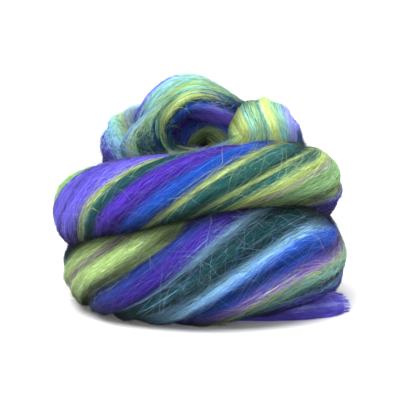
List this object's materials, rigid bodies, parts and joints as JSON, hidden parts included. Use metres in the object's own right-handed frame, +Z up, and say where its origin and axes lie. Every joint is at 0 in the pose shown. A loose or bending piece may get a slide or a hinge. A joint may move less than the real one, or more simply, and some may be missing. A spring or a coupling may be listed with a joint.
{
  "type": "wool roving",
  "caption": "Combed wool roving in soft blended stripes: a thick twisted rope wound up into a tiered heap, with a small curled bun on top and a loose end at the base.",
  "frame": {"origin": "the middle of the flat underside of the heap, on the surface that it stands on", "axes": "+Z up; -Y the front, from which the picture was taken; +X the right, where the loose end points"},
  "size_m": [0.1307, 0.1229, 0.1035],
  "materials": {
    "wool_heap": "combed wool in stripes of violet, blue, teal, sky blue and lime, matt with a soft sheen",
    "wool_loose_end": "combed wool, violet, matt with a soft sheen and a fuzzy tip"
  },
  "bodies": {
    "root": {"wound_roving": "wool_heap", "loose_end": "wool_loose_end"}
  },
  "joints": []
}
